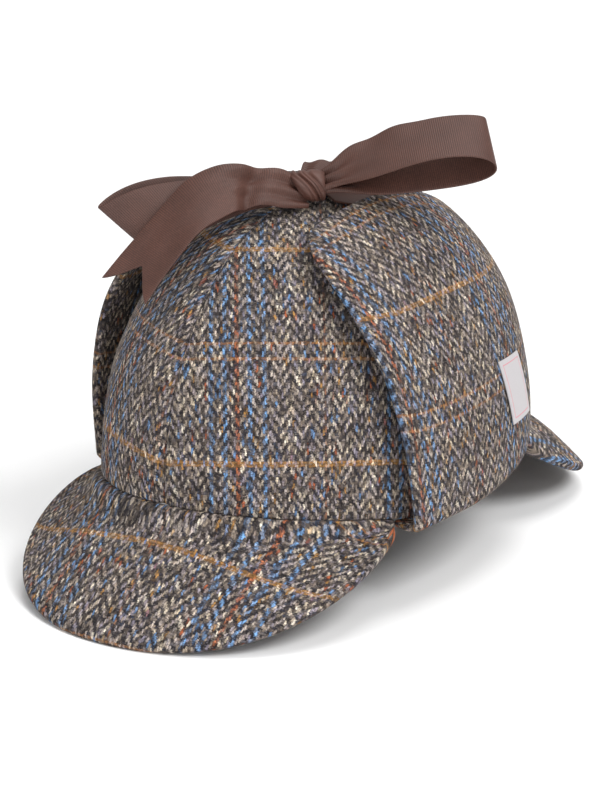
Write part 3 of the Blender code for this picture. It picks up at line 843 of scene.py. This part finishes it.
# side, front, up, width side, width front, width up, width share
FRONT_TAIL = (
    (0.005, 0.030, -0.050, 0.30, 0.45, -0.80, 0.42),
    (-0.12, 0.085, 0.006, 0.16, 0.48, -0.86, 0.66),
    (-0.22, 0.13, 0.038, 0.05, 0.50, -0.86, 0.66),
    (-0.33, 0.17, 0.050, 0.05, 0.58, -0.81, 0.75),
    (-0.43, 0.21, 0.038, 0.06, 0.64, -0.76, 0.87),
    (-0.54, 0.25, -0.010, 0.13, 0.70, -0.70, 0.95),
    (-0.64, 0.29, -0.089, 0.22, 0.76, -0.60, 0.94),
    (-0.745, 0.34, -0.204, 0.40, 0.76, -0.50, 0.94),
    (-0.853, 0.40, -0.327, 0.50, 0.72, -0.46, 0.96),
    (-0.945, 0.46, -0.440, 0.56, 0.66, -0.50, 0.95),
)
BACK_TAIL = (
    (0.01, -0.12, -0.01, 0.82, 0.57, 0.0, 0.50),
    (0.06, -0.22, -0.01, 0.82, 0.57, 0.0, 0.70),
    (0.14, -0.36, -0.01, 0.82, 0.57, 0.0, 0.90),
    (0.24, -0.52, -0.02, 0.82, 0.57, 0.0, 0.92),
    (0.34, -0.68, -0.06, 0.82, 0.57, 0.0, 0.92),
    (0.43, -0.82, -0.14, 0.82, 0.57, 0.0, 0.92),
    (0.51, -0.95, -0.27, 0.82, 0.57, 0.0, 0.92),
)


def make_tail(name, reach, table):
    step = 0.02

    def middle(along):
        side, front, up = smooth_row(table, along)[:3]
        return KNOT + bow_vector(side, front, up) * reach

    def spot(across, along):
        values = smooth_row(table, along)
        ahead = (middle(min(along + step, 1.0)) - middle(max(along - step, 0.0))).normalized()
        wide = bow_vector(*values[3:6])
        wide = (wide - ahead * wide.dot(ahead)).normalized()
        share = values[6]
        off = across - 0.5
        gather = TAIL_GATHER * max(1.0 - share, 0.0) * math.cos(5.0 * math.pi * off)
        # A soft fold runs down the ribbon from the knot and dies out half way
        fold = TAIL_FOLD * math.exp(-((off + 0.12) / 0.13) ** 2.0 - ((along - 0.30) / 0.15) ** 2.0)
        # Beside the knot the pull leaves one soft valley across the whole width
        fold += TAIL_VALLEY * math.exp(-((along - 0.285 - 0.10 * off) / 0.060) ** 2.0)
        return middle(along) + wide * RIBBON_WIDTH * share * off + ahead.cross(wide) * (gather - fold)

    return ribbon_piece(name, spot, 90, 1.25 * reach, TAIL_NOTCH)


make_tail("ribbon_tail_front", FRONT_TAIL_REACH, FRONT_TAIL)
make_tail("ribbon_tail_back", BACK_TAIL_REACH, BACK_TAIL)

# %% Loops
LEFT_LOOP_LENGTH = 77.0 * MM
LEFT_LOOP_SPREAD = 20.5 * MM
LEFT_LOOP_ARCH = 3.0 * MM
LEFT_LOOP_DROOP = 0.0
RIGHT_LOOP_LENGTH = 74.0 * MM
RIGHT_LOOP_SPREAD = 11.0 * MM
RIGHT_LOOP_ARCH = 0.2 * MM
RIGHT_LOOP_DROOP = 9.0 * MM
LOOP_DROOP_CURVE = 6.0
LOOP_PINCH = 1.5
LOOP_GATHER = 1.6 * MM
LOOP_NARROW = 0.56
LEFT_LOOP_NARROW_LENGTH = 17.0 * MM
RIGHT_LOOP_NARROW_LENGTH = 40.0 * MM
LEFT_LOOP_SHOULDER = 0.9 * MM
RIGHT_LOOP_TILT = 1.7 * MM
LOOP_ENTRY = 2.2 * MM
LOOP_FIRST_TURN = 0.03
SHOULDER_WAVE = 24.0 * MM
SHOULDER_CREST = 17.0 * MM
SHOULDER_MIDDLE = 28.0 * MM
SHOULDER_SPAN = 18.0 * MM


def make_loop(name, length, spread, way, wide, wide_end, arch, droop, flare, lean, narrow, shoulder, tilt):
    way = way.normalized()
    start = KNOT_LENGTH / 2.0 - LOOP_ENTRY

    def spot(across, along):
        off = across - 0.5
        turn = 2.0 * math.pi * (LOOP_FIRST_TURN + (1.0 - 2.0 * LOOP_FIRST_TURN) * along)
        reach = (1.0 - math.cos(turn)) / 2.0
        out = start + (length - start + lean * RIBBON_WIDTH * off) * reach
        width_way = wide.lerp(wide_end, reach)
        width_way = (width_way - way * width_way.dot(way)).normalized()
        apart = width_way.cross(way).normalized()
        swing = math.sin(turn)
        open_by = spread / 2.0 * swing * math.sin(turn / 2.0) ** LOOP_PINCH * (1.0 + flare * off)
        # The two strands lie on each other at the knot without cutting through each other
        open_by += RIBBON_THICKNESS * 0.6 * max(min(swing / 0.16, 1.0), -1.0)
        point = KNOT + way * out + apart * open_by
        point.z += arch * math.sin(math.pi * reach) - droop * reach ** LOOP_DROOP_CURVE
        point.z += tilt * swing * min(1.6 * reach, 1.0)
        # The far edge gathers more quickly and rises in a rounded shoulder
        far = max(-2.0 * off, 0.0)
        gathered = narrow * (1.0 - 0.27 * far) if shoulder > 0.0 else narrow
        share = 1.0 - LOOP_NARROW * math.exp(-((out - start) / gathered) ** 2.0)
        bulge = math.cos(2.0 * math.pi * (out - SHOULDER_CREST) / SHOULDER_WAVE)
        point.z += shoulder * far * bulge * math.exp(-((out - SHOULDER_MIDDLE) / SHOULDER_SPAN) ** 2.0)
        fade = math.exp(-((out - start) / (0.16 * length)) ** 2.0)
        gather = LOOP_GATHER * math.cos(5.0 * math.pi * off) * fade
        return point + width_way * RIBBON_WIDTH * share * off + apart * gather

    return ribbon_piece(name, spot, 130, 2.0 * length)


make_loop("ribbon_loop_left", LEFT_LOOP_LENGTH, LEFT_LOOP_SPREAD,
          bow_vector(0.97, 0.0, 0.235), bow_vector(0.0, 0.80, -0.60), bow_vector(0.0, 0.76, -0.65),
          LEFT_LOOP_ARCH, LEFT_LOOP_DROOP, 0.7, 0.0, LEFT_LOOP_NARROW_LENGTH, LEFT_LOOP_SHOULDER, 0.0)
make_loop("ribbon_loop_right", RIGHT_LOOP_LENGTH, RIGHT_LOOP_SPREAD,
          bow_vector(-0.97, 0.12, -0.11), bow_vector(0.20, 0.60, -0.66), bow_vector(0.20, 0.12, -0.95),
          RIGHT_LOOP_ARCH, RIGHT_LOOP_DROOP, 0.3, -0.85, RIGHT_LOOP_NARROW_LENGTH, 0.0, RIGHT_LOOP_TILT)


# %% Ties
def tie_climb(x, y):
    """How far up the crown a spot lies whose plan shares are x and y."""
    return math.acos(min(math.hypot(x, y), 1.0) ** (CROWN_FULLNESS / 2.0)) * 2.0 / math.pi


# x, y, lift, width share
TIE_LEFT = ((0.30, 0.13, 0.0, 0.86), (0.25, 0.07, 0.1, 0.80), (0.21, 0.0, 0.3, 0.72),
            (0.18, -0.05, 0.8, 0.64), (0.16, -0.09, 1.6, 0.54))
TIE_RIGHT = ((-0.32, 0.10, 0.0, 0.86), (-0.22, 0.06, 0.1, 0.82), (-0.11, 0.01, 0.2, 0.74),
             (-0.02, -0.06, 0.6, 0.64), (0.04, -0.12, 1.6, 0.54))


def make_tie(name, table):
    def lie(x, y, lift):
        return above_crown(math.atan2(x, -y), tie_climb(x, y), 2.0 * GAP + RIBBON_THICKNESS * (0.5 + lift))

    def spot(across, along):
        x, y, lift, share = smooth_row(table, along)
        middle = lie(x, y, lift)
        after = lie(*smooth_row(table, min(along + 0.05, 1.0))[:3])
        before = lie(*smooth_row(table, max(along - 0.05, 0.0))[:3])
        wide = (after - before).cross(crown_normal(math.atan2(x, -y), tie_climb(x, y))).normalized()
        edge = middle + wide * RIBBON_WIDTH * share * (across - 0.5)
        return lie(edge.x / CROWN_HALF_WIDTH, (edge.y - CROWN_CENTRE_Y) / CROWN_HALF_LENGTH, lift)

    return ribbon_piece(name, spot, 30, 40.0 * MM)


make_tie("ribbon_tie_left", TIE_LEFT)
make_tie("ribbon_tie_right", TIE_RIGHT)

# %% [markdown]
# The knot
#
# The knot is a turn of the same ribbon pulled tight: a short sleeve that the other pieces run into, open
# at both ends. Its cloth bunches into rounded folds with deep creases between them, which slant down
# to the right as the pull of the lower strand takes them. Each crease is a line across the knot's face.

# %% Knot
KNOT_COLUMNS = 150
KNOT_HOLLOW = 0.62
KNOT_SHIFT = 4.2 * MM
KNOT_TAPER = 3.4 * MM

# how far each crease lies from the knot's middle, square to its run, its depth and its width, all in mm
KNOT_CREASES = ((-5.4, 0.35, 1.3), (-1.7, 0.35, 0.9), (1.4, 1.5, 0.8), (3.2, 0.6, 0.5), (5.2, 0.9, 0.8))
KNOT_CREASE_SLANT = math.radians(62.0)
KNOT_CREASE_BEND = 0.045
KNOT_ROWS = 70
KNOT_MOUTH_ROWS = 8
KNOT_MOUTH = 0.80
KNOT_SQUARENESS = 0.85
KNOT_RADIUS_MM = 7.0


def knot_profile():
    """Side and radius shares from one open end over the sleeve to the other."""
    mouth = []
    for step in range(KNOT_MOUTH_ROWS):
        share = step / KNOT_MOUTH_ROWS
        mouth.append((KNOT_HOLLOW * (1.0 - share * share) - 1.0, KNOT_MOUTH * share))
    sleeve = []
    for step in range(KNOT_ROWS + 1):
        share = -1.0 + 2.0 * step / KNOT_ROWS
        sleeve.append((share, 1.0 - (1.0 - KNOT_MOUTH) * abs(share) ** 5.0))
    return mouth + sleeve + [(-side, radius) for side, radius in reversed(mouth)]


def around_height(around):
    """Height on the knot, from -1 at its foot to 1 on top, that goes on growing round its back."""
    height = math.sin(around)
    return height if math.cos(around) > 0.0 else math.copysign(2.0 - abs(height), height)


def squared(value):
    """A sine or cosine that is a little squarer than round."""
    return math.copysign(abs(value) ** KNOT_SQUARENESS, value)


def make_knot():
    points, flats, faces = [], [], []
    profile_rows = knot_profile()
    last = len(profile_rows) - 1
    for side_share, radius in profile_rows:
        for column in range(KNOT_COLUMNS):
            around = 2.0 * math.pi * column / KNOT_COLUMNS
            front = squared(math.cos(around)) * radius
            up = squared(math.sin(around)) * radius
            side_mm = side_share * KNOT_LENGTH / MM / 2.0
            up_mm = around_height(around) * KNOT_HEIGHT / MM / 2.0
            bent = side_mm + KNOT_CREASE_BEND * up_mm * up_mm
            off = bent * math.sin(KNOT_CREASE_SLANT) + up_mm * math.cos(KNOT_CREASE_SLANT)
            sunk = sum(depth * math.exp(-((off - place) / width) ** 2.0)
                       for place, depth, width in KNOT_CREASES)
            puff = 1.0 - sunk * radius / KNOT_RADIUS_MM
            sunken = 0.5 - 0.5 * up
            side = KNOT_SHIFT * sunken + side_share * (KNOT_LENGTH / 2.0 - KNOT_TAPER * sunken)
            points.append(KNOT + bow_vector(side - 0.4 * MM, front * puff * KNOT_DEPTH / 2.0,
                                            up * puff * KNOT_HEIGHT / 2.0 + 0.3 * MM))
            flats.append((12.0 + off, RIB_SPACING_MM / 2.0 + 0.04 * side_mm, 0.0))
    for row in range(last):
        for column in range(KNOT_COLUMNS):
            after = (column + 1) % KNOT_COLUMNS
            faces.append((row * KNOT_COLUMNS + column, (row + 1) * KNOT_COLUMNS + column,
                          (row + 1) * KNOT_COLUMNS + after, row * KNOT_COLUMNS + after))
    mesh = cloth_mesh("ribbon_knot", [tuple(point) for point in points], faces, flats, GROSGRAIN)
    shape = bmesh.new()
    shape.from_mesh(mesh)
    bmesh.ops.remove_doubles(shape, verts=shape.verts, dist=0.001 * MM)
    shape.to_mesh(mesh)
    shape.free()
    made = new_object("ribbon_knot_cloth", mesh)
    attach(made, "root")
    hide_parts("ribbon_knot")
    return made


make_knot()

# %% [markdown]
# Loose wool
#
# Wool cloth is never quite smooth: single fibres work loose, stand off it and catch the light along its
# edges. Each one is a thin curved tube on a spot of the cloth picked by chance, the same in every run.

# %% Loose fibres
FIBRE_COUNT = 5200
FIBRE_RADIUS = 0.04 * MM
FIBRE_LENGTHS = (1.2 * MM, 3.6 * MM)
FIBRE_BENDS = 5


def outer_spots(pieces, count, chance):
    """Spots picked evenly over the outer sides of the pieces, each with its direction out."""
    middle = np.array((0.0, CROWN_CENTRE_Y, 40.0 * MM))
    centres, normals, areas = [], [], []
    for piece in pieces:
        for polygon in piece.data.polygons:
            centre = np.array(polygon.center)
            normal = np.array(polygon.normal)
            if normal.dot(centre - middle) > 0.0:
                centres.append(centre)
                normals.append(normal)
                areas.append(polygon.area)
    areas = np.array(areas) / sum(areas)
    chosen = chance.choice(len(centres), count, p=areas)
    return [(Vector(centres[index]), Vector(normals[index])) for index in chosen]


def make_fibres():
    chance = np.random.default_rng(11)
    points, faces = [], []
    for root, out in outer_spots(gores + peaks + flaps, FIBRE_COUNT, chance):
        heading = Vector(chance.normal(size=3))
        heading = (heading - out * heading.dot(out)).normalized()
        turn = Vector(chance.normal(size=3)) * 0.35
        length = chance.uniform(*FIBRE_LENGTHS)
        lift = chance.uniform(0.15, 0.75)
        spot = root.copy()
        first = len(points)
        for bend in range(FIBRE_BENDS):
            ahead = heading + out * lift * (1.0 - 1.5 * bend / FIBRE_BENDS) + turn * bend / FIBRE_BENDS
            ahead = ahead.normalized()
            side = ahead.cross(out).normalized()
            over = side.cross(ahead)
            radius = FIBRE_RADIUS * (1.0 - 0.6 * bend / FIBRE_BENDS)
            for corner in range(3):
                angle = 2.0 * math.pi * corner / 3.0
                points.append(tuple(spot + (side * math.cos(angle) + over * math.sin(angle)) * radius))
            spot = spot + ahead * length / FIBRE_BENDS
        for bend in range(FIBRE_BENDS - 1):
            for corner in range(3):
                low = first + 3 * bend + corner
                next_low = first + 3 * bend + (corner + 1) % 3
                faces.append((low, next_low, next_low + 3, low + 3))
        faces.append((first + 2, first + 1, first))
        faces.append((first + 3 * FIBRE_BENDS - 3, first + 3 * FIBRE_BENDS - 2, first + 3 * FIBRE_BENDS - 1))
    mesh = bpy.data.meshes.new("loose_wool_fibres")
    mesh.from_pydata(points, [], faces)
    wool, wool_tree = new_material("loose_wool_fibre", 0.8, 0.3, "#FFFFFF", 0.2)
    place = add(wool_tree, "TexCoord")
    patch = add(wool_tree, "TexNoise", {"Vector": place.outputs["Object"], "Scale": 400.0})
    shade = fill_ramp(add(wool_tree, "ValToRGB", [patch]), (
        (0.30, "#4A4340"), (0.45, "#9A8E82"), (0.58, "#CFC3B0"), (0.70, "#7F8494")))
    wool_tree.links.new(shade.outputs[0], wool_tree.nodes["Principled BSDF"].inputs["Base Color"])
    mesh.materials.append(wool)
    made = new_object("loose_wool_fibres", mesh)
    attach(made, "root")
    print(FIBRE_COUNT, "fibres,", len(faces), "faces")
    return made


make_fibres()

# %% [markdown]
# The studio
#
# A pale floor, a big soft light high on the viewer's right, another high behind the hat and a small one
# low in front. Big lights give the soft edges of a shop photograph and still leave the dark line beside
# the flap. The floor runs far out, and greys towards the back of low views, where the lamps' light ends.

# %% Floor and lights
floor_mesh = bpy.data.meshes.new("floor")
FLOOR_HALF = 40.0
floor_mesh.from_pydata([(-FLOOR_HALF, -FLOOR_HALF, 0.0), (FLOOR_HALF, -FLOOR_HALF, 0.0),
                        (FLOOR_HALF, FLOOR_HALF, 0.0), (-FLOOR_HALF, FLOOR_HALF, 0.0)], [], [(0, 1, 2, 3)])
floor = new_object("floor", floor_mesh)
paper, paper_tree = new_material("matt_white_paper", 0.9, 0.0, "#FFFFFF", 0.1)
paper_tree.nodes["Principled BSDF"].inputs["Base Color"].default_value = linear("#FBFBFB")
floor_mesh.materials.append(paper)

# name, watts, size, how far right, front and up of the hat it stands
LIGHTS = (("key", 146.0, 2.1, 2.4, 2.25, 3.6), ("fill", 9.0, 1.2, -0.3, 1.4, 0.35),
          ("top", 110.0, 2.7, 0.6, -0.9, 4.8))
view_right = Vector((math.cos(VIEW_AZIMUTH), math.sin(VIEW_AZIMUTH), 0.0))
view_front = Vector((math.sin(VIEW_AZIMUTH), -math.cos(VIEW_AZIMUTH), 0.0))
for name, watts, size, right, front, up in LIGHTS:
    lamp = bpy.data.lights.new(name, "AREA")
    lamp.energy = watts
    lamp.size = size
    stand = new_object(name, lamp)
    stand.location = view_right * right + view_front * front + UP * up
    stand.rotation_mode = "QUATERNION"
    stand.rotation_quaternion = (VIEW_TARGET - stand.location).to_track_quat("-Z", "Y")

world = bpy.data.worlds.new("studio")
world.use_nodes = True
world.node_tree.nodes["Background"].inputs["Color"].default_value = linear("#FFFFFF")
world.node_tree.nodes["Background"].inputs["Strength"].default_value = 0.43
bpy.context.scene.world = world
bpy.context.scene.view_settings.view_transform = "Standard"
